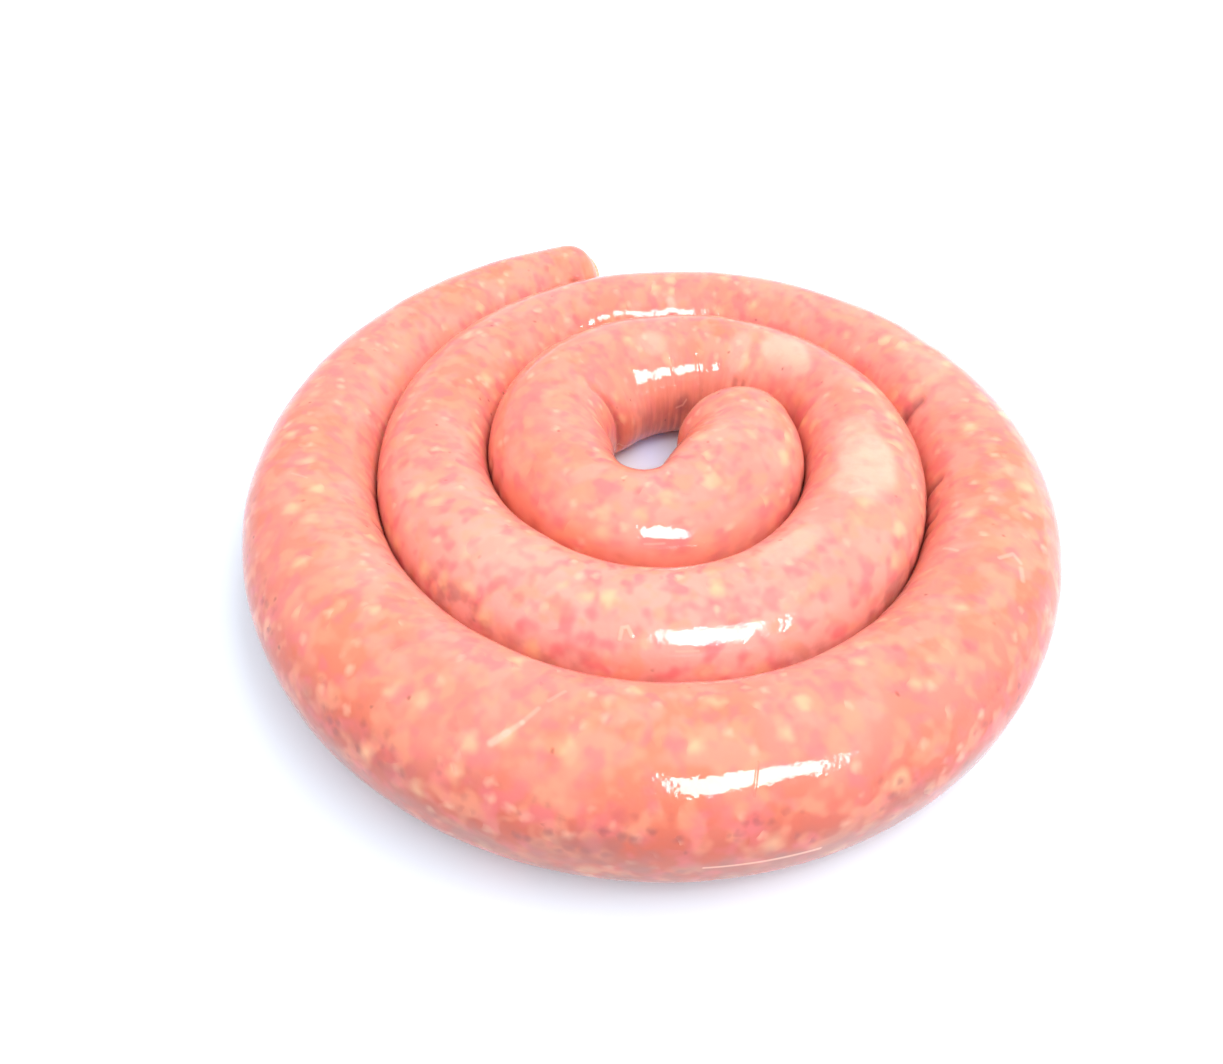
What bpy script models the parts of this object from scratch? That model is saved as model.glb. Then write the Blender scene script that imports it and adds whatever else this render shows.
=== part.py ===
"""Coiled fresh sausage: raw minced pork in one thin natural casing, laid flat in a spiral.

The sausage is a single soft tube of nearly three turns. It lies on its own weight, so
the section is flat underneath and full at the lower flanks. Each turn is pressed
sideways against the turn inside it. The inner end is blunt and fills most of the eye
of the coil, and the outer end thins out over the last quarter turn.
"""
import math

import bmesh
import bpy
import numpy as np

# Course of the sausage. Angles run along the coil, from the inner end to the outer end,
# clockwise when seen from above. Angle 0 is on the +X side.
START_ANGLE = math.radians(-30.0)
END_ANGLE = math.radians(973.0)
# At evenly spaced stations from end to end: the distance of the tube's middle from the
# centre of the coil, and half the tube's width.
CENTRE_RADII = (0.0235, 0.0177, 0.0217, 0.0277, 0.0362, 0.0446, 0.0528, 0.0520, 0.0566,
                0.0597, 0.0684, 0.0765, 0.0829, 0.0852, 0.0923, 0.0960, 0.0976, 0.1080)
HALF_WIDTHS = (0.0173, 0.0188, 0.0176, 0.0170, 0.0186, 0.0178, 0.0168, 0.0181, 0.0176,
               0.0173, 0.0160, 0.0153, 0.0152, 0.0178, 0.0198, 0.0197, 0.0163, 0.0123)

# Section of the tube
HEIGHT_SHARE = 0.93          # height over width of the resting tube
WIDEST_LEVEL = 0.46          # height of the widest line, as a share of the full height
CROWN_POWER = 2.0            # roundness of the upper half, 2 is an ellipse
BELLY_POWER = 2.8            # fullness of the lower half
FLOOR_CUT = 0.0004           # depth that the floor presses into the belly

# Meeting of the turns
TURN_GAP = 0.0005            # clear space left where two turns lie together
INNER_KEEPS = 0.75           # share of the squeeze that the outer of two turns takes up
TURN_BLEND = math.radians(30.0)   # run over which a free flank becomes a pressed one
TIGHTEST_BEND = 0.92         # inner half width over the bend radius, at most
LONGEST_PROBE = 0.030        # how far inward the search for the inner end goes
PROBE_STEPS = 601

# Ends
INNER_END_REACH = 0.80       # length of the rounded inner end over its half width
OUTER_END_REACH = 0.80
END_POWER = 2.6              # bluntness of both ends
END_RINGS = 6

# The fold pinched into the inside of the first tight bend
FOLD_ANGLE = math.radians(232.0)
FOLD_RUN = math.radians(10.0)     # half the length of tube that the fold draws in
FOLD_DEPTH = 0.0020

# Facets
SIDES = 26
STEP_INNER = 0.0042          # spacing of the rings at the inner end
STEP_OUTER = 0.0057          # and at the outer end

FULL_TURN = 2.0 * math.pi

NODE = "coiled_sausage"
MEAT_COLOUR = (0.87, 0.36, 0.26, 1.0)
MEAT_ROUGHNESS = 0.34


def smooth_curve(values):
    """Natural cubic curve through values at the even stations. Returns f(angle, order)."""
    y = np.array(values)
    last = len(y) - 1
    h = (END_ANGLE - START_ANGLE) / last
    system = np.eye(last + 1)
    right = np.zeros(last + 1)
    for k in range(1, last):
        system[k, k - 1:k + 2] = (1.0, 4.0, 1.0)
        right[k] = 6.0 * (y[k + 1] - 2.0 * y[k] + y[k - 1]) / h ** 2
    bend = np.linalg.solve(system, right)

    def curve(angle, order=0):
        place = (np.asarray(angle, dtype=float) - START_ANGLE) / h
        k = np.clip(np.floor(place).astype(int), 0, last - 1)
        t = (place - k) * h
        slope = (y[k + 1] - y[k]) / h - h * (2.0 * bend[k] + bend[k + 1]) / 6.0
        twist = (bend[k + 1] - bend[k]) / h
        if order == 1:
            return slope + bend[k] * t + twist * t ** 2 / 2.0
        if order == 2:
            return bend[k] + twist * t
        return y[k] + slope * t + bend[k] * t ** 2 / 2.0 + twist * t ** 3 / 6.0

    return curve


def ease(x):
    """Smooth step from 0 to 1."""
    x = np.clip(x, 0.0, 1.0)
    return x * x * (3.0 - 2.0 * x)


radius_at = smooth_curve(CENTRE_RADII)
half_at = smooth_curve(HALF_WIDTHS)


def centre_line(u):
    """Point in plan, direction of travel and outward direction at angle u."""
    r, dr = radius_at(u), radius_at(u, 1)
    c, s = np.cos(u), np.sin(u)
    point = np.stack([r * c, -r * s], -1)
    travel = np.stack([dr * c - r * s, -dr * s - r * c], -1)
    travel /= np.linalg.norm(travel, axis=-1, keepdims=True)
    outward = np.stack([-travel[..., 1], travel[..., 0]], -1)
    return point, travel, outward


def seam_radius(u):
    """Radius of the line along which the turn at u meets the next turn out."""
    inner, outer = radius_at(u), radius_at(u + FULL_TURN)
    a, b = half_at(u), half_at(u + FULL_TURN)
    even = (outer - inner) * a / (a + b)
    return inner + even + INNER_KEEPS * (a - even)


def reach_to_seam(u, side, turn_of_seam):
    """Distance from the centre line to the seam, outward (side 1) or inward (side -1)."""
    point, _, outward = centre_line(u)
    reach = half_at(u)
    for _ in range(8):
        edge = point + outward * (side * reach)[:, None]
        polar = -np.arctan2(edge[:, 1], edge[:, 0])
        at = polar + FULL_TURN * np.round((u - polar) / FULL_TURN) - FULL_TURN * turn_of_seam
        at = np.clip(at, START_ANGLE, END_ANGLE - FULL_TURN)
        reach = reach + side * (seam_radius(at) - np.linalg.norm(edge, axis=-1))
    return reach - TURN_GAP / 2.0


def reach_to_inner_end(u):
    """Distance inward from the centre line to the rounded inner end, if it is in the way."""
    point, _, outward = centre_line(u)
    end, travel, aside = centre_line(START_ANGLE)
    half = half_at(START_ANGLE) + TURN_GAP
    length = INNER_END_REACH * half_at(START_ANGLE) + TURN_GAP
    steps = np.linspace(0.0, LONGEST_PROBE, PROBE_STEPS)
    there = point[:, None] - outward[:, None] * steps[:, None] - end
    ahead = -(there @ travel) / length
    beside = np.abs(there @ aside) / half
    inside = (ahead > 0.0) & (np.abs(ahead) ** END_POWER + beside ** END_POWER < 1.0)
    faces_it = inside.any(axis=1) & (u > START_ANGLE + math.pi)
    first = np.where(faces_it, inside.argmax(axis=1), PROBE_STEPS - 1)
    return steps[first]


def flank_widths(u):
    """Outer and inner half widths of the tube at u, pressed where turns lie together."""
    free = half_at(u)
    r, dr, ddr = radius_at(u), radius_at(u, 1), radius_at(u, 2)
    bend_radius = (r ** 2 + dr ** 2) ** 1.5 / np.maximum(r ** 2 + 2.0 * dr ** 2 - r * ddr, 1e-6)
    free_inner = np.minimum(free, TIGHTEST_BEND * bend_radius)
    last_outer = END_ANGLE - FULL_TURN
    first_inner = START_ANGLE + FULL_TURN
    pressed_outer = np.minimum(free, reach_to_seam(u, 1, 0))
    pressed_inner = np.minimum(free, reach_to_seam(u, -1, 1))
    share_outer = ease((last_outer + TURN_BLEND - u) / TURN_BLEND)
    share_inner = ease((u - first_inner + TURN_BLEND) / TURN_BLEND)
    outer = free + (pressed_outer - free) * share_outer
    inner = free_inner + (pressed_inner - free_inner) * share_inner
    inner = np.minimum(inner, reach_to_inner_end(u))
    fold = FOLD_DEPTH * np.exp(-((u - FOLD_ANGLE) / FOLD_RUN) ** 2)
    return outer, inner - fold


def section(outer, inner, height, size, phi):
    """Across and up offsets of one ring. Size shrinks it toward its widest line."""
    c, s = np.cos(phi), np.sin(phi)
    level = WIDEST_LEVEL * height
    upper = s >= 0.0
    power = np.where(upper, 2.0 / CROWN_POWER, 2.0 / BELLY_POWER)
    width = np.where(c >= 0.0, outer, inner)
    rise = np.where(upper, height - level, level + FLOOR_CUT)
    across = width * np.sign(c) * np.abs(c) ** power * size
    up = level + rise * np.sign(s) * np.abs(s) ** power * size
    return across, np.maximum(up, 0.0)


def ring_angles():
    """Angles of the rings, spaced closer toward the inner end."""
    fine = np.linspace(START_ANGLE, END_ANGLE, 4000)
    point, _, _ = centre_line(fine)
    run = np.linalg.norm(np.diff(point, axis=0), axis=-1)
    share = (fine[1:] - START_ANGLE) / (END_ANGLE - START_ANGLE)
    count = np.concatenate([[0.0], np.cumsum(run / (STEP_INNER + (STEP_OUTER - STEP_INNER) * share))])
    rings = int(round(count[-1]))
    return np.interp(np.linspace(0.0, count[-1], rings + 1), count, fine)


def build_rings():
    """All rings from pole to pole, as arrays of points, and the two poles."""
    phi = FULL_TURN * np.arange(SIDES) / SIDES
    angles = ring_angles()
    point, travel, outward = centre_line(angles)
    outer, inner = flank_widths(angles)
    height = 2.0 * HEIGHT_SHARE * half_at(angles)

    def ring(k, size, forward):
        across, up = section(outer[k], inner[k], height[k], size, phi)
        plan = point[k] + travel[k] * forward + outward[k] * across[:, None]
        return np.column_stack([plan, up])

    def pole(k, forward):
        plan = point[k] + travel[k] * forward
        return np.array([plan[0], plan[1], WIDEST_LEVEL * height[k]])

    last = len(angles) - 1
    inner_reach = INNER_END_REACH * half_at(angles[0])
    outer_reach = OUTER_END_REACH * half_at(angles[last])
    shares = np.sin(np.linspace(0.0, math.pi / 2.0, END_RINGS + 1))[1:-1]
    sizes = (1.0 - shares ** END_POWER) ** (1.0 / END_POWER)
    rings = [ring(0, n, -inner_reach * m) for m, n in zip(shares[::-1], sizes[::-1])]
    rings += [ring(k, 1.0, 0.0) for k in range(last + 1)]
    rings += [ring(last, n, outer_reach * m) for m, n in zip(shares, sizes)]
    return rings, pole(0, -inner_reach), pole(last, outer_reach)


def build_body(name):
    """One closed body, with the middle of its plan box at the origin."""
    rings, first_pole, last_pole = build_rings()
    points = np.vstack(rings + [first_pole[None], last_pole[None]])
    middle = (points.max(axis=0) + points.min(axis=0)) / 2.0
    points[:, :2] -= middle[:2]
    mesh_builder = bmesh.new()
    verts = [mesh_builder.verts.new(p) for p in points]
    head, tail = verts[-2], verts[-1]
    for k in range(len(rings) - 1):
        for j in range(SIDES):
            n = (j + 1) % SIDES
            a, b = k * SIDES + j, k * SIDES + n
            mesh_builder.faces.new((verts[a], verts[b], verts[b + SIDES], verts[a + SIDES]))
    for j in range(SIDES):
        n = (j + 1) % SIDES
        end = (len(rings) - 1) * SIDES
        mesh_builder.faces.new((head, verts[n], verts[j]))
        mesh_builder.faces.new((tail, verts[end + j], verts[end + n]))
    bmesh.ops.triangulate(mesh_builder, faces=mesh_builder.faces[:])
    bmesh.ops.recalc_face_normals(mesh_builder, faces=mesh_builder.faces[:])
    for face in mesh_builder.faces:
        face.smooth = True
    mesh = bpy.data.meshes.new(name)
    mesh_builder.to_mesh(mesh)
    mesh_builder.free()
    body = bpy.data.objects.new(name, mesh)
    bpy.context.scene.collection.objects.link(body)
    return body


def meat_material(name):
    material = bpy.data.materials.new(name)
    material.use_nodes = True
    shader = material.node_tree.nodes["Principled BSDF"]
    shader.inputs["Base Color"].default_value = MEAT_COLOUR
    shader.inputs["Roughness"].default_value = MEAT_ROUGHNESS
    shader.inputs["Metallic"].default_value = 0.0
    return material


for leftover in list(bpy.data.objects):
    bpy.data.objects.remove(leftover)

sausage = build_body(NODE)
sausage.data.materials.append(meat_material(NODE + "_meat"))
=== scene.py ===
import math

import bpy
import numpy as np
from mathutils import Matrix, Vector, noise


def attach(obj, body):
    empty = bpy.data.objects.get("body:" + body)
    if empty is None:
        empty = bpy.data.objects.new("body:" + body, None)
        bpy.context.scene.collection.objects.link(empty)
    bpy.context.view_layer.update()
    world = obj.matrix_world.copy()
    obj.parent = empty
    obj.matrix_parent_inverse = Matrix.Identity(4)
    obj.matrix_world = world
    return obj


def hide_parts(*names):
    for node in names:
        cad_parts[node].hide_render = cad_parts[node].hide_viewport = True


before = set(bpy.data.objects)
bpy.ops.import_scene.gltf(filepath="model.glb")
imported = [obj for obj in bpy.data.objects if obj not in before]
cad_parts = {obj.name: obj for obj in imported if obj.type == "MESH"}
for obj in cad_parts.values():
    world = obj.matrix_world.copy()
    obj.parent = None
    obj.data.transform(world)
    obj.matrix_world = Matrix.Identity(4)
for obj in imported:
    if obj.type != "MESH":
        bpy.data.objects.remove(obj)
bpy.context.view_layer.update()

# The sausage. One unbroken length of coarse raw pork, pushed into a thin wet natural
# casing and laid down in a spiral, each turn against the last. The casing is clear
# enough to show pink lean, cream fat and a few dark grains of pepper.
START = math.radians(-30.0)
END = math.radians(973.0)
TURN = 2.0 * math.pi
CENTRE_RADII = (0.0235, 0.0177, 0.0217, 0.0277, 0.0362, 0.0446, 0.0528, 0.0520, 0.0566,
                0.0597, 0.0684, 0.0765, 0.0829, 0.0852, 0.0923, 0.0960, 0.0976, 0.1080)
HALF_WIDTHS = (0.0173, 0.0188, 0.0176, 0.0170, 0.0186, 0.0178, 0.0168, 0.0181, 0.0176,
               0.0173, 0.0160, 0.0153, 0.0152, 0.0178, 0.0198, 0.0197, 0.0163, 0.0123)
HEIGHT_SHARE = 0.93
WIDEST_LEVEL = 0.46
BELLY_POWER = 2.8
FLOOR_CUT = 0.0004
TURN_GAP = 0.0005
INNER_KEEPS = 0.75
TURN_BLEND = math.radians(30.0)
TIGHTEST_BEND = 0.92
END_REACH = 0.80
END_POWER = 2.6
FOLD_ANGLE = math.radians(212.0)
FOLD_RUN = math.radians(26.0)
FOLD_DEPTH = 0.0024
SEAM_PASSES = 8
TIP_SEARCH = 0.030
TIP_STEPS = 600
FINE_STATIONS = 6000

RINGS = 880
END_RINGS = 14
SIDES = 104


def through(values):
    """Natural cubic curve through values at even stations from end to end."""
    y = np.array(values)
    last = len(y) - 1
    h = (END - START) / last
    system = np.eye(last + 1)
    right = np.zeros(last + 1)
    for k in range(1, last):
        system[k, k - 1:k + 2] = (1.0, 4.0, 1.0)
        right[k] = 6.0 * (y[k + 1] - 2.0 * y[k] + y[k - 1]) / h ** 2
    bend = np.linalg.solve(system, right)

    def curve(angle, order=0):
        place = (np.asarray(angle, dtype=float) - START) / h
        k = np.clip(np.floor(place).astype(int), 0, last - 1)
        t = (place - k) * h
        slope = (y[k + 1] - y[k]) / h - h * (2.0 * bend[k] + bend[k + 1]) / 6.0
        twist = (bend[k + 1] - bend[k]) / h
        if order == 1:
            return slope + bend[k] * t + twist * t ** 2 / 2.0
        if order == 2:
            return bend[k] + twist * t
        return y[k] + slope * t + bend[k] * t ** 2 / 2.0 + twist * t ** 3 / 6.0

    return curve


def ease(x):
    x = np.clip(x, 0.0, 1.0)
    return x * x * (3.0 - 2.0 * x)


radius_at = through(CENTRE_RADII)
half_at = through(HALF_WIDTHS)


def centre_line(u):
    """Plan point, direction of travel and outward direction at angle u."""
    r, dr = radius_at(u), radius_at(u, 1)
    c, s = np.cos(u), np.sin(u)
    point = np.stack([r * c, -r * s], -1)
    travel = np.stack([dr * c - r * s, -dr * s - r * c], -1)
    travel /= np.linalg.norm(travel, axis=-1, keepdims=True)
    return point, travel, np.stack([-travel[..., 1], travel[..., 0]], -1)


def reach_to_seam(u, side, turn_of_seam):
    """Distance from the centre line to where two turns meet, outward or inward."""
    point, _, outward = centre_line(u)
    reach = half_at(u)
    for _ in range(SEAM_PASSES):
        edge = point + outward * (side * reach)[:, None]
        polar = -np.arctan2(edge[:, 1], edge[:, 0])
        at = polar + TURN * np.round((u - polar) / TURN) - TURN * turn_of_seam
        at = np.clip(at, START, END - TURN)
        inner, a = radius_at(at), half_at(at)
        even = (radius_at(at + TURN) - inner) * a / (a + half_at(at + TURN))
        seam = inner + even + INNER_KEEPS * (a - even)
        reach = reach + side * (seam - np.linalg.norm(edge, axis=-1))
    return reach - TURN_GAP / 2.0


def reach_to_tip(u):
    """Distance inward from the centre line to the blunt inner end, if it is in the way."""
    point, _, outward = centre_line(u)
    end, travel, aside = centre_line(START)
    steps = np.linspace(0.0, TIP_SEARCH, TIP_STEPS + 1)
    there = point[:, None] - outward[:, None] * steps[:, None] - end
    ahead = -(there @ travel) / (END_REACH * half_at(START) + TURN_GAP)
    beside = np.abs(there @ aside) / (half_at(START) + TURN_GAP)
    inside = (ahead > 0.0) & (np.abs(ahead) ** END_POWER + beside ** END_POWER < 1.0)
    faces_it = inside.any(axis=1) & (u > START + math.pi)
    return steps[np.where(faces_it, inside.argmax(axis=1), TIP_STEPS)]


def flank_widths(u):
    """Outer and inner width of the section, pressed by its neighbours and the fold."""
    free = half_at(u)
    r, dr, ddr = radius_at(u), radius_at(u, 1), radius_at(u, 2)
    bend_radius = (r ** 2 + dr ** 2) ** 1.5 / np.maximum(r ** 2 + 2.0 * dr ** 2 - r * ddr, 1e-6)
    free_inner = np.minimum(free, TIGHTEST_BEND * bend_radius)
    pressed_outer = np.minimum(free, reach_to_seam(u, 1, 0))
    pressed_inner = np.minimum(free, reach_to_seam(u, -1, 1))
    share_outer = ease((END - TURN + TURN_BLEND - u) / TURN_BLEND)
    share_inner = ease((u - START - TURN + TURN_BLEND) / TURN_BLEND)
    outer = free + (pressed_outer - free) * share_outer
    inner = free_inner + (pressed_inner - free_inner) * share_inner
    fold = FOLD_DEPTH * ease(1.6 - 1.6 * np.abs(u - FOLD_ANGLE) / FOLD_RUN)
    return outer, np.minimum(inner, reach_to_tip(u)) - fold


# Rings along the sausage, closer together where the coil is tight
fine = np.linspace(START, END, FINE_STATIONS)
plan, _, _ = centre_line(fine)
run = np.linalg.norm(np.diff(plan, axis=0), axis=-1)
travelled = np.concatenate([[0.0], np.cumsum(run)])
spacing = 0.75 + 0.5 * (fine[1:] - START) / (END - START)
count = np.concatenate([[0.0], np.cumsum(run / spacing)])
ring_u = np.interp(np.linspace(0.0, count[-1], RINGS), count, fine)
shares = np.sin(np.linspace(0.0, math.pi / 2.0, END_RINGS + 2))[1:-1]
sizes = (1.0 - shares ** END_POWER) ** (1.0 / END_POWER)
ring_u = np.concatenate([np.full(END_RINGS, START), ring_u, np.full(END_RINGS, END)])
ring_size = np.concatenate([sizes[::-1], np.ones(RINGS), sizes])
ring_ahead = np.concatenate([-shares[::-1], np.zeros(RINGS), shares]) * END_REACH * half_at(ring_u)
ring_arc = np.interp(ring_u, fine, travelled) + ring_ahead

phi = TURN * np.arange(SIDES) / SIDES
centre, travel, outward = centre_line(ring_u)
outer, inner = flank_widths(ring_u)
height = 2.0 * HEIGHT_SHARE * half_at(ring_u)
level = (WIDEST_LEVEL * height)[:, None]
cos_phi, sin_phi = np.cos(phi)[None], np.sin(phi)[None]
power = np.where(sin_phi >= 0.0, 1.0, 2.0 / BELLY_POWER)
width = np.where(cos_phi >= 0.0, outer[:, None], inner[:, None])
rise = np.where(sin_phi >= 0.0, height[:, None] - level, level + FLOOR_CUT)
across = width * np.sign(cos_phi) * np.abs(cos_phi) ** power * ring_size[:, None]
up = level + rise * np.sign(sin_phi) * np.abs(sin_phi) ** power * ring_size[:, None]
skin = np.empty((len(ring_u), SIDES, 3))
skin[..., :2] = (centre + travel * ring_ahead[:, None])[:, None] + outward[:, None] * across[..., None]
skin[..., 2] = np.maximum(up, 0.0)
middle = (skin.reshape(-1, 3).max(axis=0) + skin.reshape(-1, 3).min(axis=0)) / 2.0
skin[..., :2] -= middle[:2]
centre = centre - middle[:2]

# Where each point of the skin lies: degrees along the coil and degrees round the tube
along = np.degrees(ring_u + ring_ahead / radius_at(ring_u))[:, None] * np.ones(SIDES)
around = np.degrees(phi)[None] * np.ones((len(ring_u), 1))
per_degree_along = np.radians(radius_at(ring_u))[:, None]
per_degree_around = np.radians(half_at(ring_u))[:, None]


def lumps(size, seed):
    """Smooth bumps between -1 and 1, about as wide as size."""
    shift = Vector((seed * 7.13, seed * 3.71, seed * 5.37))
    spots = skin.reshape(-1, 3) / size
    values = [noise.noise(Vector(p) + shift) for p in spots.tolist()]
    return np.array(values).reshape(skin.shape[:2])


def patch(at_along, at_around, half_long, half_wide, turned=0.0, edge=0.5):
    """Oval patch on the skin, 1 inside and 0 outside, with a soft edge."""
    s = (along - at_along) * per_degree_along
    w = (around - at_around) * per_degree_around
    c, n = math.cos(math.radians(turned)), math.sin(math.radians(turned))
    far = np.hypot((s * c + w * n) / half_long, (w * c - s * n) / half_wide)
    return ease((1.0 + edge - far) / (2.0 * edge))


def groove(foot, top, half_wide):
    """Thin straight dip over the skin, from foot to top, each degrees along and round."""
    s = (along - foot[0]) * per_degree_along
    w = (around - foot[1]) * per_degree_around
    ds = (top[0] - foot[0]) * per_degree_along
    dw = (top[1] - foot[1]) * per_degree_around
    t = np.clip((s * ds + w * dw) / (ds ** 2 + dw ** 2), 0.0, 1.0)
    return np.exp(-(np.hypot(s - t * ds, w - t * dw) / half_wide) ** 2)


# Pale places where a little air is trapped under the casing. Each has degrees along and
# round, half its length and width, degrees that it is turned, and how pale it is.
POCKETS = (
    (376, 95, 0.013, 0.008, -14, 1), (362, 106, 0.007, 0.006, 0, 0.6), (385, 99, 0.006, 0.0075, 0, 0.8),
    (314, 100, 0.008, 0.0065, 25, 0.9), (318, 112, 0.0075, 0.006, 0, 0.75),
    (298.5, 118, 0.0034, 0.008, 0, 0.55), (418, 108, 0.0095, 0.0045, 8, 0.75),
    (493, 84, 0.013, 0.0065, -10, 0.3), (262, 111, 0.0042, 0.004, 15, 0.55),
    (697, 104, 0.01, 0.006, 0, 0.3), (708, 112, 0.005, 0.0055, 0, 0.25),
    (436, 64, 0.012, 0.0045, 0, 0.15), (10, 112, 0.008, 0.007, 0, 0.15),
    (868, 118, 0.015, 0.005, 0, 0.12),
)
ragged = 1.0 + 0.30 * lumps(0.004, 9.0)
pocket = np.zeros(skin.shape[:2])
for at_along, at_around, half_long, half_wide, turned, strength in POCKETS:
    spot = patch(at_along, at_around, half_long, half_wide, turned, 0.55) * ragged
    pocket = np.maximum(pocket, strength * ease((spot - 0.10) / 0.75))

# Dull greyish or purplish meat, mostly low on the flanks: degrees along and round, half
# the length and width, and how dull it is
BRUISES = (
    (497, 31, 0.01, 0.0035, 0.9), (476, 25, 0.01, 0.003, 0.6), (404, 20, 0.0075, 0.0025, 0.8),
    (820, 17, 0.012, 0.004, 0.8), (845, 26, 0.009, 0.004, 0.6), (789, 15, 0.007, 0.0035, 0.7),
    (803, 24, 0.008, 0.003, 0.3), (833, 38, 0.007, 0.004, 0.3), (857, 22, 0.008, 0.004, 0.5),
    (273, 176, 0.0035, 0.0035, 0.9), (430, 22, 0.007, 0.0028, 0.6), (77, 20, 0.006, 0.003, 0.5),
    (470, 32, 0.006, 0.003, 0.4), (705, 152, 0.0022, 0.0045, 0.9), (729, 163, 0.0022, 0.004, 0.8),
    (738, 168, 0.002, 0.0035, 0.5), (120, 20, 0.007, 0.003, 0.4), (620, 165, 0.006, 0.003, 0.3),
)
bruise = np.zeros(skin.shape[:2])
for at_along, at_around, half_long, half_wide, strength in BRUISES:
    bruise = np.maximum(bruise, strength * patch(at_along, at_around, half_long, half_wide, 0.0, 0.7))

# Where a turn leans on the next one, and where the outer turn stands free in front
beside_outer = ease((END - TURN + TURN_BLEND - ring_u) / TURN_BLEND)[:, None]
beside_inner = ease((ring_u - START - TURN + TURN_BLEND) / TURN_BLEND)[:, None]
touching = np.where(cos_phi >= 0.0, beside_outer, beside_inner) * (ring_size[:, None] > 0.99)
leaning = touching * np.abs(cos_phi) ** 2 * (0.35 + 0.65 * ease((along - 330.0) / 60.0))
leaning = leaning * (1.0 - 0.6 * patch(552.0, 90.0, 0.045, 0.030, 0.0, 0.5))
free_front = (1.0 - beside_outer) * ease(cos_phi / 0.4)
free_front = free_front * ease((along - 712.0) / 55.0) * ease((950.0 - along) / 60.0)
# Painted light: the front of the middle turn and the top of the inner turn painted paler as a sheen from
# above, and the middle turn's low front flank painted lighter against its shade
pale_front = patch(468.0, 50.0, 0.058, 0.030, 0.0, 0.8)
pale_inner = 0.45 * patch(92.0, 80.0, 0.030, 0.017, 0.0, 0.8)
painted_sheen = np.maximum(pale_front, pale_inner) + 0.30 * patch(455.0, 28.0, 0.045, 0.010, 0.0, 0.8)

# The crease where the first tight bend doubles the inside of the tube
FOLD_CREASE = ((216, 113), (219, 136), (221, 152), (225, 180), (228, 205))
fold_crease = np.zeros(skin.shape[:2])
for foot, top in zip(FOLD_CREASE[:-1], FOLD_CREASE[1:]):
    fold_crease = np.maximum(fold_crease, groove(foot, top, 0.0012))
fold_crease *= ease((around - 110.0) / 22.0)

# Fine wrinkles down the squeezed inside of the eye
squeezed = ease((around - 112.0) / 40.0) * ease((262.0 - around) / 30.0)
in_eye = ease((along - 226.0) / 16.0) * ease((330.0 - along) / 26.0) * squeezed
folds = [noise.noise(Vector((a / 5.5, r / 130.0, 2.0))) for a, r in zip(along.ravel(), around.ravel())]
ripple = np.abs(np.array(folds).reshape(skin.shape[:2]) + 0.10 * lumps(0.006, 4.0))
valley = 1.0 - ease(ripple / 0.16)
deep = 0.20 + 0.80 * ease(0.5 + 1.6 * lumps(0.010, 5.0))
WRINKLE_HEIGHT = 0.00032
VALLEY_DEPTH = 0.00012
wrinkles = in_eye * deep * (WRINKLE_HEIGHT * (ripple - 0.2) - VALLEY_DEPTH * valley)

# Pinches that run up from the seams, the larger ones first, then many small ones: degrees
# along, degrees round where it starts and ends, half its width, and its depth
PINCHES = [
    (705, 160, 134, 0.0014, 0.0012), (728, 174, 150, 0.0013, 0.001), (738, 178, 158, 0.001, 0.0007),
    (300, 162, 146, 0.0009, 0.0008), (304, 160, 147, 0.0008, 0.0007), (283, 172, 130, 0.001, 0.0003),
    (291, 168, 134, 0.0009, 0.0002), (331, 168, 148, 0.0009, 0.0003), (972, 170, 150, 0.0014, 0.0013),
    (968, 168, 150, 0.0009, 0.0006),
]
chance = np.random.default_rng(11)
for k in range(15):
    at = 606.0 + 3.2 * k + chance.uniform(-1.6, 1.6)
    PINCHES.append((at, 146.0, chance.uniform(130.0, 140.0), 0.0006, chance.uniform(0.0001, 0.0003)))
PINCHED_RUNS = ((0.0, 4.0, 1.0), (345.0, 178.0, -1.0), (345.0, 6.0, 1.0), (620.0, 176.0, -1.0))
for turn_start, foot, way in PINCHED_RUNS:
    for k in range(26):
        at = turn_start + 12.5 * k + chance.uniform(-5.0, 5.0)
        reach = chance.uniform(8.0, 24.0)
        PINCHES.append((at, foot, foot + way * reach, chance.uniform(0.0008, 0.0013),
                        chance.uniform(0.0001, 0.00045)))
pinched = np.zeros(skin.shape[:2])
for at_along, foot, top, half_wide, depth in PINCHES:
    pinched += depth * groove((at_along, foot), (at_along, top), half_wide)

# Low swellings and hollows, where the filling is fuller or slacker. Those of one size
# stand together, each with degrees along and round, and millimetres out or in.
SWELLINGS = (
    (0.016, 0.011, (
        (428, 38, -0.65), (428, 68, -0.62), (446, 38, -0.43), (446, 68, 0.47), (464, 38, -0.1),
        (464, 68, 0.7),
    )),
    (0.013, 0.01, (
        (58, 38, -1.15), (58, 72, -0.8), (82, 38, -1.3), (82, 72, -1), (130, 38, 1.05), (130, 72, 0.98),
    )),
    (0.006, 0.006, (
        (434, 48, -0.21), (434, 68, 0.05), (442, 48, -0.09), (450, 48, -0.08), (450, 68, 0.2),
        (458, 48, -0.12), (458, 68, 0.05),
    )),
    (0.007, 0.007, (
        (238, 128, -0.86), (238, 150, -1.24), (251, 128, -0.46), (251, 150, -0.25), (264, 128, -0.17),
        (264, 150, 0.67), (278, 128, 0.09), (278, 150, 0.28), (292, 128, 0.13), (292, 150, 0.23),
    )),
    (0.006, 0.005, (
        (616, 130, 0.7), (616, 148, -0.48), (628, 130, 0.13), (628, 148, 0.39), (640, 130, -0.2),
        (652, 130, -0.2), (652, 148, -0.15),
    )),
    (0.0022, 0.0022, ((460.5, 58, 0.15),)),
    (0.0022, 0.0026, ((632, 131, 0.35),)),
    (0.0022, 0.0022, ((213, 117, 0.35),)),
)
swollen = np.zeros(skin.shape[:2])
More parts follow.
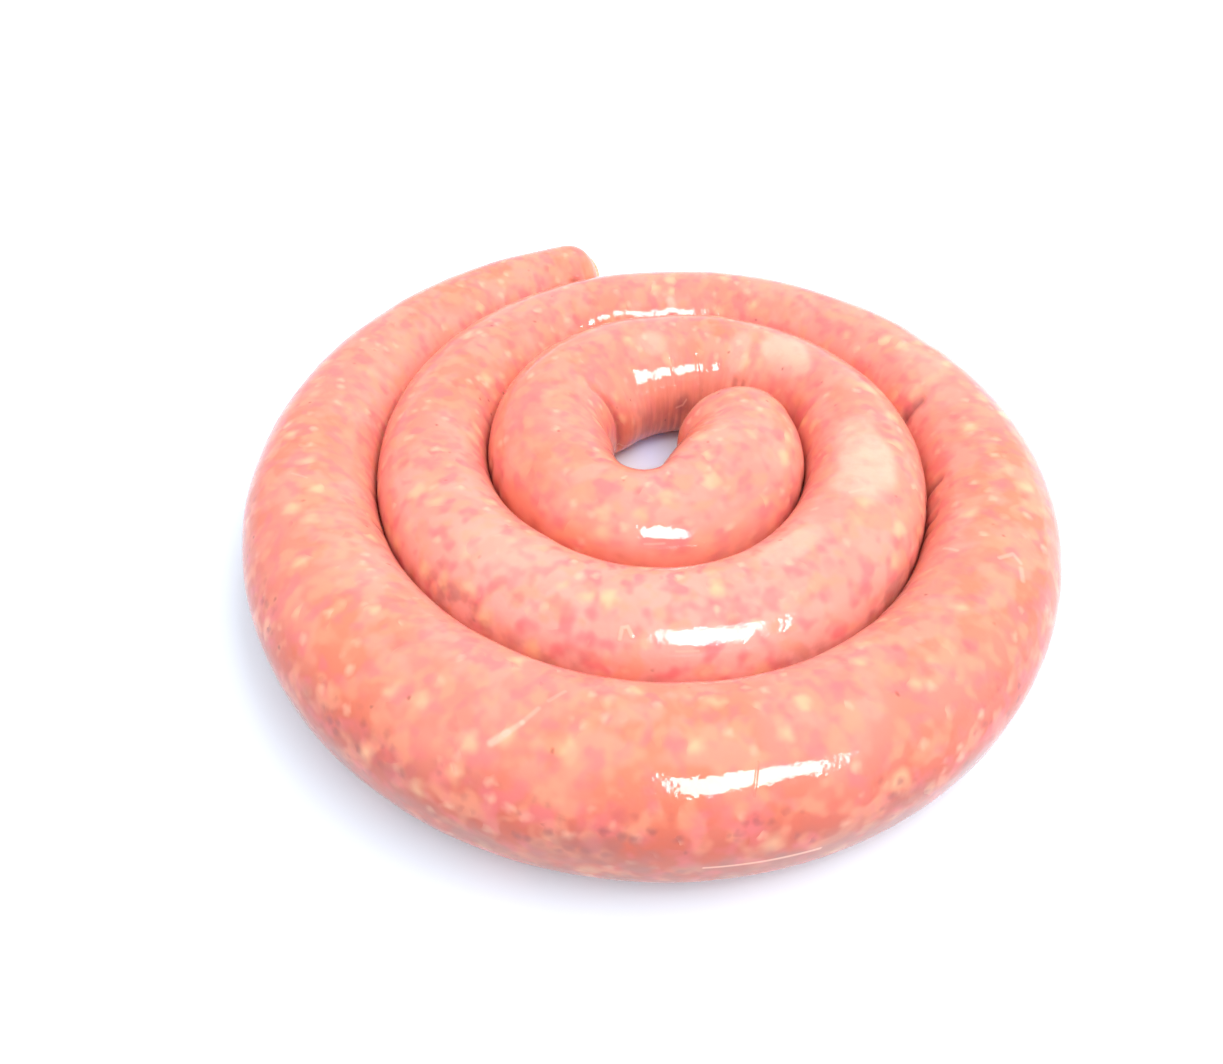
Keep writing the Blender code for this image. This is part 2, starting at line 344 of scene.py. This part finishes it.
for half_long, half_wide, places in SWELLINGS:
    for at_along, at_around, rise_mm in places:
        swollen += 0.001 * rise_mm * patch(at_along, at_around, half_long, half_wide, 0.0, 1.0)

BROAD_LUMPS = 0.00030
MIDDLE_LUMPS = 0.00013
FINE_LUMPS = 0.00006
POCKET_RISE = 0.00016
CREASE_DEPTH = 0.0014
pressed = np.abs(cos_phi) ** 6 * (ring_size[:, None] > 0.99)
relief = BROAD_LUMPS * lumps(0.017, 1.0) + MIDDLE_LUMPS * lumps(0.0075, 2.0)
relief += FINE_LUMPS * lumps(0.0038, 3.0)
relief = relief * (1.0 - 0.8 * pressed) + POCKET_RISE * pocket
relief += swollen + wrinkles - pinched - CREASE_DEPTH * fold_crease
relief += TURN_GAP / 2.0 * touching * ease((np.abs(cos_phi) - 0.5) / 0.3)

# Painted shade in the creases, and how dark it is: the wrinkles low in the eye, the pinches and the fold
SHADE_PER_METRE = 800.0
eye_foot = ease((around - 158.0) / 40.0)
crease = 0.3 * in_eye * valley * deep * eye_foot + SHADE_PER_METRE * pinched + 0.5 * fold_crease
crease = np.clip(crease, 0.0, 1.0)

step_along = np.gradient(skin, axis=0)
step_around = np.roll(skin, -1, axis=1) - np.roll(skin, 1, axis=1)
facing = np.cross(step_around, step_along)
facing /= np.maximum(np.linalg.norm(facing, axis=-1, keepdims=True), 1e-12)
hub = np.concatenate([centre + travel * ring_ahead[:, None], level], axis=1)
facing *= np.sign(((skin - hub[:, None]) * facing).sum(-1).mean())
skin = skin + facing * relief[..., None]
skin[..., 2] = np.maximum(skin[..., 2], 0.0)

first_pole = np.append(centre[0] - travel[0] * END_REACH * half_at(START), level[0])
last_pole = np.append(centre[-1] + travel[-1] * END_REACH * half_at(END), level[-1])
points = np.vstack([skin.reshape(-1, 3), first_pole, last_pole])
k, j = np.meshgrid(np.arange(len(ring_u) - 1), np.arange(SIDES), indexing="ij")
n = (j + 1) % SIDES
quads = np.stack([k * SIDES + j, k * SIDES + n, (k + 1) * SIDES + n, (k + 1) * SIDES + j], -1)
faces = quads.reshape(-1, 4).tolist()
head, tail = len(points) - 2, len(points) - 1
for side in range(SIDES):
    next_side = (side + 1) % SIDES
    faces.append([head, next_side, side])
    faces.append([tail, head - SIDES + side, head - SIDES + next_side])
sausage_mesh = bpy.data.meshes.new("sausage")
sausage_mesh.from_pydata(points.tolist(), [], faces)
skin_marks = {"pocket": pocket, "bruise": bruise, "crease": crease, "eye": in_eye,
              "foot": in_eye * eye_foot, "leaning": leaning, "front": free_front,
              "pale": painted_sheen}
for name, values in skin_marks.items():
    marks = sausage_mesh.attributes.new(name, "FLOAT", "POINT")
    marks.data.foreach_set("value", np.append(values.ravel(), (0.0, 0.0)).astype(np.float32))

# The mince is laid out in the straight sausage, before it was coiled: along, across, up
straight = np.stack([ring_arc[:, None] * np.ones(SIDES), across, up - level], -1).reshape(-1, 3)
poles = ((ring_arc[0], 0.0, 0.0), (ring_arc[-1], 0.0, 0.0))
filling = sausage_mesh.attributes.new("filling", "FLOAT_VECTOR", "POINT")
filling.data.foreach_set("vector", np.vstack([straight, poles]).astype(np.float32).ravel())

# The casing is laid out flat: along, and round from the outer side over the top
bottom = SIDES * 3 // 4
round_k = np.where(j >= bottom, j - SIDES, j)
round_half = half_at(ring_u) * TURN / SIDES
flat = np.zeros((len(faces) - 2 * SIDES, 4, 3))
for corner, (dk, dj) in enumerate(((0, 0), (0, 1), (1, 1), (1, 0))):
    flat[:, corner, 0] = ring_arc[k + dk].ravel()
    flat[:, corner, 1] = ((round_k + dj) * round_half[k + dk]).ravel()
casing = sausage_mesh.attributes.new("casing", "FLOAT_VECTOR", "CORNER")
ends = np.zeros((2 * SIDES, 3, 3)) - 1.0
casing.data.foreach_set("vector", np.concatenate([flat.ravel(), ends.ravel()]).astype(np.float32))
sausage_mesh.shade_smooth()
sausage_mesh.update()
sausage = bpy.data.objects.new("sausage", sausage_mesh)
bpy.context.scene.collection.objects.link(sausage)


class Wire:
    """One output in a material's node tree, so that shader maths reads as expressions."""

    def __init__(self, tree, socket=None):
        self.tree = tree
        self.socket = socket

    def node(self, kind, settings=None, sockets=None, out=0):
        """Add a node: its settings first, then the values or links of its sockets."""
        made = self.tree.nodes.new(kind)
        for key, value in (settings or {}).items():
            setattr(made, key, value)
        for key, value in (sockets or {}).items():
            if isinstance(value, Wire):
                self.tree.links.new(value.socket, made.inputs[key])
            else:
                made.inputs[key].default_value = value
        return Wire(self.tree, made.outputs[out])

    def also(self, out):
        """Another output of the same node."""
        return Wire(self.tree, self.socket.node.outputs[out])

    def maths(self, operation, a, b, clamp=False):
        return self.node("ShaderNodeMath", {"operation": operation, "use_clamp": clamp}, {0: a, 1: b})

    def __add__(self, other):
        return self.maths("ADD", self, other)

    __radd__ = __add__

    def __sub__(self, other):
        return self.maths("SUBTRACT", self, other)

    def __rsub__(self, other):
        return self.maths("SUBTRACT", other, self)

    def __mul__(self, other):
        return self.maths("MULTIPLY", self, other)

    __rmul__ = __mul__


def shade(red, green, blue):
    """A colour as seen on screen, 0 to 255, as the light values that a shader takes."""
    return tuple((c / 12.92 if c <= 0.04045 else ((c + 0.055) / 1.055) ** 2.4)
                 for c in (red / 255.0, green / 255.0, blue / 255.0)) + (1.0,)


def blend(mask, under, over):
    """Colour over laid on colour under, where mask is 1."""
    return mask.node("ShaderNodeMix", {"data_type": "RGBA"}, {0: mask, 6: under, 7: over}, out=2)


def between(value, low, high):
    """0 where value is under low, 1 where it is over high, smooth between."""
    return value.node("ShaderNodeMapRange", {"interpolation_type": "SMOOTHSTEP"},
                      {"Value": value, "From Min": low, "From Max": high})


MEAT_PINK = shade(234, 138, 122)
MEAT_ORANGE = shade(234, 132, 104)
MEAT_PALE = shade(240, 158, 138)
PEACH = shade(240, 156, 124)
LEAN_ROSE = shade(230, 116, 122)
LEAN_DARK = shade(194, 90, 98)
FAT_CREAM = shade(248, 194, 150)
FAT_WHITE = shade(246, 186, 156)
MEAT_WHITE = shade(240, 170, 158)
DEEP_SHADE = shade(204, 96, 74)
BROWN_GREY_SHADE = shade(168, 116, 104)
AIR_PALE = shade(246, 184, 162)
PALE_FOLD_AND_GLINT = shade(246, 186, 164)
PEPPER = shade(120, 66, 58)
PURPLE = shade(152, 80, 80)
GREY_MEAT_AND_SHADE = shade(166, 104, 98)
EYE_FOOT_SHADE = shade(160, 104, 116)
CREASE_SHADE = shade(140, 58, 70)

sausage_skin = bpy.data.materials.new("meat_in_casing")
sausage_skin.use_nodes = True
skin_tree = sausage_skin.node_tree
shader = skin_tree.nodes["Principled BSDF"]
bench = Wire(skin_tree)
mark = {name: bench.node("ShaderNodeAttribute", {"attribute_name": name}, out=2)
        for name in skin_marks}
filling_place = bench.node("ShaderNodeAttribute", {"attribute_name": "filling"}, out=1)
casing_place = bench.node("ShaderNodeAttribute", {"attribute_name": "casing"}, out=1)
mince = bench.node("ShaderNodeVectorMath", {"operation": "MULTIPLY"},
                   {0: filling_place, 1: (1.15, 1.0, 1.0)})


def moved(shift):
    """Another part of the mince, so that each texture has a pattern of its own."""
    return bench.node("ShaderNodeVectorMath", {"operation": "ADD"},
                      {0: mince, 1: (shift, shift * 0.7, shift * 0.3)})


def cloud(size, shift, detail=2.0):
    """Soft noise, 0 to 1, with features about as wide as size in metres."""
    return bench.node("ShaderNodeTexNoise", None,
                      {"Vector": moved(shift), "Scale": 1.0 / size, "Detail": detail})


def bits(size, shift, radius, share, wobble=0.5):
    """Crumbs of mince up to size apart: 1 inside a crumb, for this share of them."""
    warp = bench.node("ShaderNodeTexNoise", None,
                      {"Vector": moved(shift), "Scale": 1.6 / size, "Detail": 1.0}, out=1)
    push = (size * wobble, size * wobble, size * wobble)
    bent = bench.node("ShaderNodeVectorMath", {"operation": "MULTIPLY_ADD"},
                      {0: warp, 1: push, 2: moved(shift)})
    cells = bench.node("ShaderNodeTexVoronoi", None, {"Vector": bent, "Scale": 1.0 / size})
    pick = bench.node("ShaderNodeSeparateColor", None, {0: cells.also("Color")})
    return between(cells, radius, radius * 0.08) * between(pick, 1.0 - share, 1.0 - share * 0.6)


# Broad drifts of colour and paler meat where turns lean; the paler middle turn is a painted sheen, and the
# deeper colour low in front is painted shade
colour = blend(between(cloud(0.040, 0.31), 0.42, 0.60), MEAT_PINK, MEAT_ORANGE)
colour = blend(between(cloud(0.0100, 1.7), 0.44, 0.62) * 0.60, colour, MEAT_PALE)
# Painted sheen, laid on as paler meat
colour = blend(mark["pale"] * 0.66, colour, MEAT_WHITE)
colour = blend(mark["leaning"] * 0.58, colour, MEAT_WHITE)
tallness = bench.node("ShaderNodeSeparateXYZ", None, {0: filling_place}).also(2)
# Painted shade: the outer turn's front deeper in colour low down, towards the table
colour = blend(mark["front"] * between(tallness, 0.021, 0.005) * 0.98, colour, DEEP_SHADE)

# Softer patches of pale and rosy mince, then single bits of lean and fat
rich = mark["pale"] * 0.3 + 1.0
colour = blend(between(cloud(0.0055, 5.1, 1.0), 0.46, 0.68) * 0.60, colour, PEACH)
colour = blend(between(cloud(0.0050, 2.9, 1.0), 0.47, 0.72) * rich * 0.54, colour, LEAN_ROSE)
colour = blend(bits(0.0052, 0.53, 0.58, 0.34) * rich * 0.38, colour, LEAN_ROSE)
colour = blend(bits(0.0046, 0.91, 0.54, 0.12) * rich * 0.38, colour, LEAN_DARK)
fat = bits(0.0068, 0.17, 0.52, 0.26)
colour = blend(fat * rich * 0.62, colour, FAT_CREAM)
crumb = bits(0.0040, 0.73, 0.48, 0.24)
colour = blend(crumb * rich * 0.56, colour, FAT_WHITE)
streak = bench.node("ShaderNodeVectorMath", {"operation": "MULTIPLY"},
                    {0: casing_place, 1: (1.0, 0.12, 1.0)})
streaks = bench.node("ShaderNodeTexNoise", None, {"Vector": streak, "Scale": 500.0, "Detail": 2.0})
# The inside of the eye painted paler, with darker streaks as painted shade in its fine wrinkles
colour = blend(mark["eye"] * 0.55, colour,
               blend(between(streaks, 0.42, 0.64) * 0.22, MEAT_PALE, DEEP_SHADE))

# Air under the casing, grains of pepper and dull meat, then painted shade: greyer meat low down towards
# the table, at the foot of the eye and in the creases
airy = mark["pocket"] * (0.86 - between(cloud(0.0050, 3.3), 0.42, 0.66) * 0.22)
colour = blend(airy, colour, AIR_PALE)
pepper = bits(0.0034, 0.37, 0.25, 0.07, 0.3)
colour = blend(pepper * 0.50, colour, PEPPER)
specks = bits(0.0028, 0.66, 0.60, 0.80) * between(cloud(0.011, 2.3), 0.42, 0.56)
colour = blend(mark["front"] * specks * between(tallness, 0.017, 0.010) * 0.56, colour, PURPLE)
shade_patchiness = between(cloud(0.0070, 9.4), 0.34, 0.62) * 0.6 + 0.4
# Painted shade: a brown-grey band at the foot of the outer turn's front, beside the table
colour = blend(mark["front"] * between(tallness, 0.010, -0.001) * shade_patchiness * 0.80, colour, BROWN_GREY_SHADE)
# Painted shade: grey crumbs of mince low down, more of them towards the table
low_shade = between(tallness, 0.009, -0.002)
colour = blend(low_shade * bits(0.0060, 0.44, 0.55, 0.40) * 0.45, colour, GREY_MEAT_AND_SHADE)
colour = blend(mark["bruise"] * between(cloud(0.0050, 4.1), 0.34, 0.64) * 0.66, colour, GREY_MEAT_AND_SHADE)
# Painted shade: lilac grey at the foot of the eye's wall, deep in the hole
colour = blend(mark["foot"] * (between(streaks, 0.38, 0.62) * 0.30 + 0.08), colour, EYE_FOOT_SHADE)
# Painted shade: the creases darkened where shade falls in them
colour = blend(mark["crease"] * 0.50, colour, CREASE_SHADE)


def pale_line(spots, half_wide, strength):
    """Thin pale line through spots on the skin, drawn for casing doubled over on itself and for painted
    glints.
    """
    nearest = None
    flat_spots = [(float(np.interp(math.radians(a), fine, travelled)),
                   math.radians(b) * float(half_at(math.radians(a))), 0.0) for a, b in spots]
    for start, stop in zip(flat_spots[:-1], flat_spots[1:]):
        step = tuple(q - p for p, q in zip(start, stop))
        square = sum(q * q for q in step)
        gone = bench.node("ShaderNodeVectorMath", {"operation": "SUBTRACT"}, {0: casing_place, 1: start})
        dot = bench.node("ShaderNodeVectorMath", {"operation": "DOT_PRODUCT"}, {0: gone, 1: step}, out=1)
        part_way = dot.maths("DIVIDE", dot, square, clamp=True)
        foot = bench.node("ShaderNodeVectorMath", {"operation": "SCALE"}, {0: step, "Scale": part_way})
        gap = bench.node("ShaderNodeVectorMath", {"operation": "DISTANCE"}, {0: gone, 1: foot}, out=1)
        nearest = gap if nearest is None else nearest.maths("MINIMUM", nearest, gap)
    return between(nearest, half_wide, half_wide * 0.2) * strength


# Casing lines and painted glints: spots in degrees along and round, half the width, and how pale it is
CASING_LINES = (
    (((832.5, 64), (831.2, 72)), 0.0012, 0.7),
    (((831.4, 71), (830, 80)), 0.0009, 0.5),
    (((830, 80), (828.8, 91)), 0.0008, 0.35),
    (((828, 98), (826.5, 108)), 0.0007, 0.28),
    (((889, 84), (887.5, 96)), 0.0005, 0.25),
    # Painted glints on folds of the casing, on the right of the outer turn
    (((753, 88), (751, 80), (752, 73)), 0.0008, 0.45),
    (((751.6, 134), (753, 121)), 0.0008, 0.45),
    (((753, 71.5), (755, 68)), 0.001, 0.4),
    (((214, 200), (236, 206), (249, 217), (262, 220)), 0.0005, 0.6),
    (((390.5, 99), (388, 89)), 0.0008, 0.5),
    # Painted reflection of the white table, along the bottom of the outer turn's front
    (((809.5, 1), (797.5, 0)), 0.0005, 0.7),
    # A cream fleck of fat with a painted highlight on it
    (((631.6, 127), (632, 133)), 0.0024, 0.8),
    (((275, 170), (273, 176), (269, 178)), 0.0006, 0.45),
)
veins_and_glints = pale_line(*CASING_LINES[0])
for line in CASING_LINES[1:]:
    veins_and_glints = veins_and_glints + pale_line(*line)

# A painted highlight: the spark beside the middle bar of light, which also stands up a little, in the bump
# below
spark = pale_line(((462.4, 52), (462.3, 60), (461.2, 61.5), (460.2, 55)), 0.0006, 0.85)
veins_and_glints = veins_and_glints + spark
# Painted highlights: thin second lines of light below the middle and inner bars
veins_and_glints = veins_and_glints + pale_line(((452, 46), (448, 45.5)), 0.0004, 0.6)
veins_and_glints = veins_and_glints + pale_line(((107, 39), (100, 39)), 0.0005, 0.45)
# The pale casing lines, with the painted glints and highlights, laid into the colour
colour = blend(veins_and_glints, colour, PALE_FOLD_AND_GLINT)

# Tucks: narrow notches in the casing, too fine for the mesh, so the bump presses them in
tucks = pale_line(((804.5, 48), (803.5, 66)), 0.0004, 1.0)
tucks = tucks + pale_line(((267.5, 130), (268, 152)), 0.0009, 1.0)
tucks = tucks + pale_line(((280.5, 128), (281.5, 152)), 0.0012, 1.0)

skin_tree.links.new(colour.socket, shader.inputs["Base Color"])
dull = 0.06 + between(cloud(0.012, 6.7), 0.42, 0.72) * 0.07
skin_tree.links.new(dull.socket, shader.inputs["Roughness"])
grain = cloud(0.0026, 8.3) * 0.6 + cloud(0.0009, 4.4, 0.0) * 0.22 + spark * 0.8 - tucks * 2.0
bump = bench.node("ShaderNodeBump", None, {"Strength": 0.36, "Distance": 0.0003, "Height": grain})
skin_tree.links.new(bump.socket, shader.inputs["Normal"])
shader.inputs["Subsurface Weight"].default_value = 0.30
shader.inputs["Subsurface Radius"].default_value = (1.0, 0.34, 0.22)
shader.inputs["Subsurface Scale"].default_value = 0.003
shader.inputs["IOR"].default_value = 1.37
sausage_mesh.materials.append(sausage_skin)
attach(sausage, "root")
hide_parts("coiled_sausage")

# The casing flap. The last of the casing past the filling, a thin dry cream edge that
# stands out a millimetre or two from the outer end; it is one piece with the casing.
FLAP_STEPS = 14
flap_points = []
for k in range(FLAP_STEPS + 1):
    share = k / FLAP_STEPS
    lean = math.radians(62.0 - 88.0 * share)
    stand_out = 0.0003 + 0.0021 * share * (1.0 - 0.15 * math.sin(9.0 * share))
    wave = 0.0004 * math.sin(7.0 * share) - 0.0010 * share
    corners = ((-0.0012, 0.00012), (stand_out, 0.00006), (stand_out, -0.00006), (-0.0012, -0.00012))
    for reach, thick in corners:
        ahead = (END_REACH * half_at(END) + reach) * math.cos(lean)
        lift = (height[-1] - level[-1, 0] + reach) * math.sin(lean)
        place = centre[-1] + travel[-1] * ahead + outward[-1] * (wave + thick)
        flap_points.append((place[0], place[1], level[-1, 0] + lift))
flap_faces = [(3, 2, 1, 0), tuple(4 * FLAP_STEPS + c for c in (0, 1, 2, 3))]
for k in range(FLAP_STEPS):
    for c in range(4):
        d = (c + 1) % 4
        flap_faces.append((4 * k + c, 4 * k + d, 4 * k + 4 + d, 4 * k + 4 + c))
flap_mesh = bpy.data.meshes.new("casing_flap")
flap_mesh.from_pydata(flap_points, [], flap_faces)
flap_mesh.update()
casing_flap = bpy.data.objects.new("casing_flap", flap_mesh)
bpy.context.scene.collection.objects.link(casing_flap)
dry_casing = bpy.data.materials.new("dry_casing")
dry_casing.use_nodes = True
dry = dry_casing.node_tree.nodes["Principled BSDF"]
cream = Wire(dry_casing.node_tree)
spots = cream.node("ShaderNodeTexCoord", out=3)
mottle = cream.node("ShaderNodeTexNoise", None, {"Vector": spots, "Scale": 900.0, "Detail": 2.0})
flap_colour = blend(between(mottle, 0.40, 0.60), shade(250, 232, 204), shade(250, 214, 182))
dry_casing.node_tree.links.new(flap_colour.socket, dry.inputs["Base Color"])
dry.inputs["Roughness"].default_value = 0.35
dry.inputs["Subsurface Weight"].default_value = 0.4
dry.inputs["Subsurface Scale"].default_value = 0.002
flap_mesh.materials.append(dry_casing)
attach(casing_flap, "root")

# The table: a plain white surface, lit so brightly that it only darkens where the
# sausage keeps the light off it.
bpy.ops.mesh.primitive_plane_add(size=6.0, location=(0.0, 0.0, -0.0001))
table = bpy.context.object
table.name = "table"
white = bpy.data.materials.new("white_table")
white.use_nodes = True
white.node_tree.nodes["Principled BSDF"].inputs["Base Color"].default_value = (0.84, 0.92, 1.0, 1.0)
white.node_tree.nodes["Principled BSDF"].inputs["Roughness"].default_value = 0.6
table.data.materials.append(white)

# The light: bright white air all round, a wide soft panel high up on the right and a
# weaker one in front. A third panel shows only in the wet casing, as its white bars.
air = bpy.data.worlds.new("air")
air.use_nodes = True
air.node_tree.nodes["Background"].inputs["Color"].default_value = (0.93, 0.96, 1.0, 1.0)
air.node_tree.nodes["Background"].inputs["Strength"].default_value = 1.05
bpy.context.scene.world = air


def panel(name, toward, distance, size, power):
    """Soft light panel that faces the coil. Toward is degrees from the front and up."""
    side, lift = math.radians(toward[0]), math.radians(toward[1])
    direction = Vector((math.sin(side) * math.cos(lift), -math.cos(side) * math.cos(lift), math.sin(lift)))
    lamp = bpy.data.lights.new(name, "AREA")
    lamp.shape = "RECTANGLE"
    lamp.size, lamp.size_y = size
    lamp.energy = power
    holder = bpy.data.objects.new(name, lamp)
    holder.location = direction * distance
    holder.rotation_euler = direction.to_track_quat("Z", "Y").to_euler()
    bpy.context.scene.collection.objects.link(holder)
    return holder


bar_panel = panel("bar_panel", (36.0, 46.5), 1.07, (0.62, 0.30), 18.0)
bar_panel.rotation_euler = (math.radians(34.0), 0.0, 0.0)
bar_panel.location += bar_panel.rotation_euler.to_matrix() @ Vector((-0.045, -0.05, 0.0))
bar_panel.visible_diffuse = False
front_panel = panel("front_panel", (20.0, 60.0), 1.0, (0.8, 0.5), 2.0)
front_panel.visible_glossy = False
high_panel = panel("high_panel", (108.0, 60.0), 1.2, (1.1, 0.9), 10.5)
high_panel.visible_glossy = False

# A narrow cool beam from over the viewer's head brightens the table inside the eye.
beam = bpy.data.lights.new("eye_beam", "SPOT")
beam.energy = 5.0
beam.color = (0.02, 0.30, 1.0)
beam.spot_size = math.radians(1.1)
beam.spot_blend = 0.5
beam.shadow_soft_size = 0.005
eye_beam = bpy.data.objects.new("eye_beam", beam)
eye_beam.location = (-0.0222, -0.4166, 0.4074)
eye_beam.rotation_euler = Vector((-0.0242, -0.4398, 0.4074)).to_track_quat("Z", "Y").to_euler()
eye_beam.visible_glossy = False
bpy.context.scene.collection.objects.link(eye_beam)

# The camera stands close over the near edge of the coil and looks down at it. Its lens
# is as long as 950 of the 1223 pixels across the frame.
SENSOR_WIDTH = 36.0
LOOKS_DOWN = 0.82799
view = bpy.data.cameras.new("view")
view.sensor_width = SENSOR_WIDTH
view.lens = SENSOR_WIDTH * 950.0 / 1223.0
stand = bpy.data.objects.new("view", view)
stand.location = (-0.00981, -0.19213, 0.19949)
stand.rotation_euler = (math.pi / 2.0 - LOOKS_DOWN, 0.0, 0.0)
bpy.context.scene.collection.objects.link(stand)
bpy.context.scene.camera = stand
bpy.context.scene.view_settings.view_transform = "Standard"
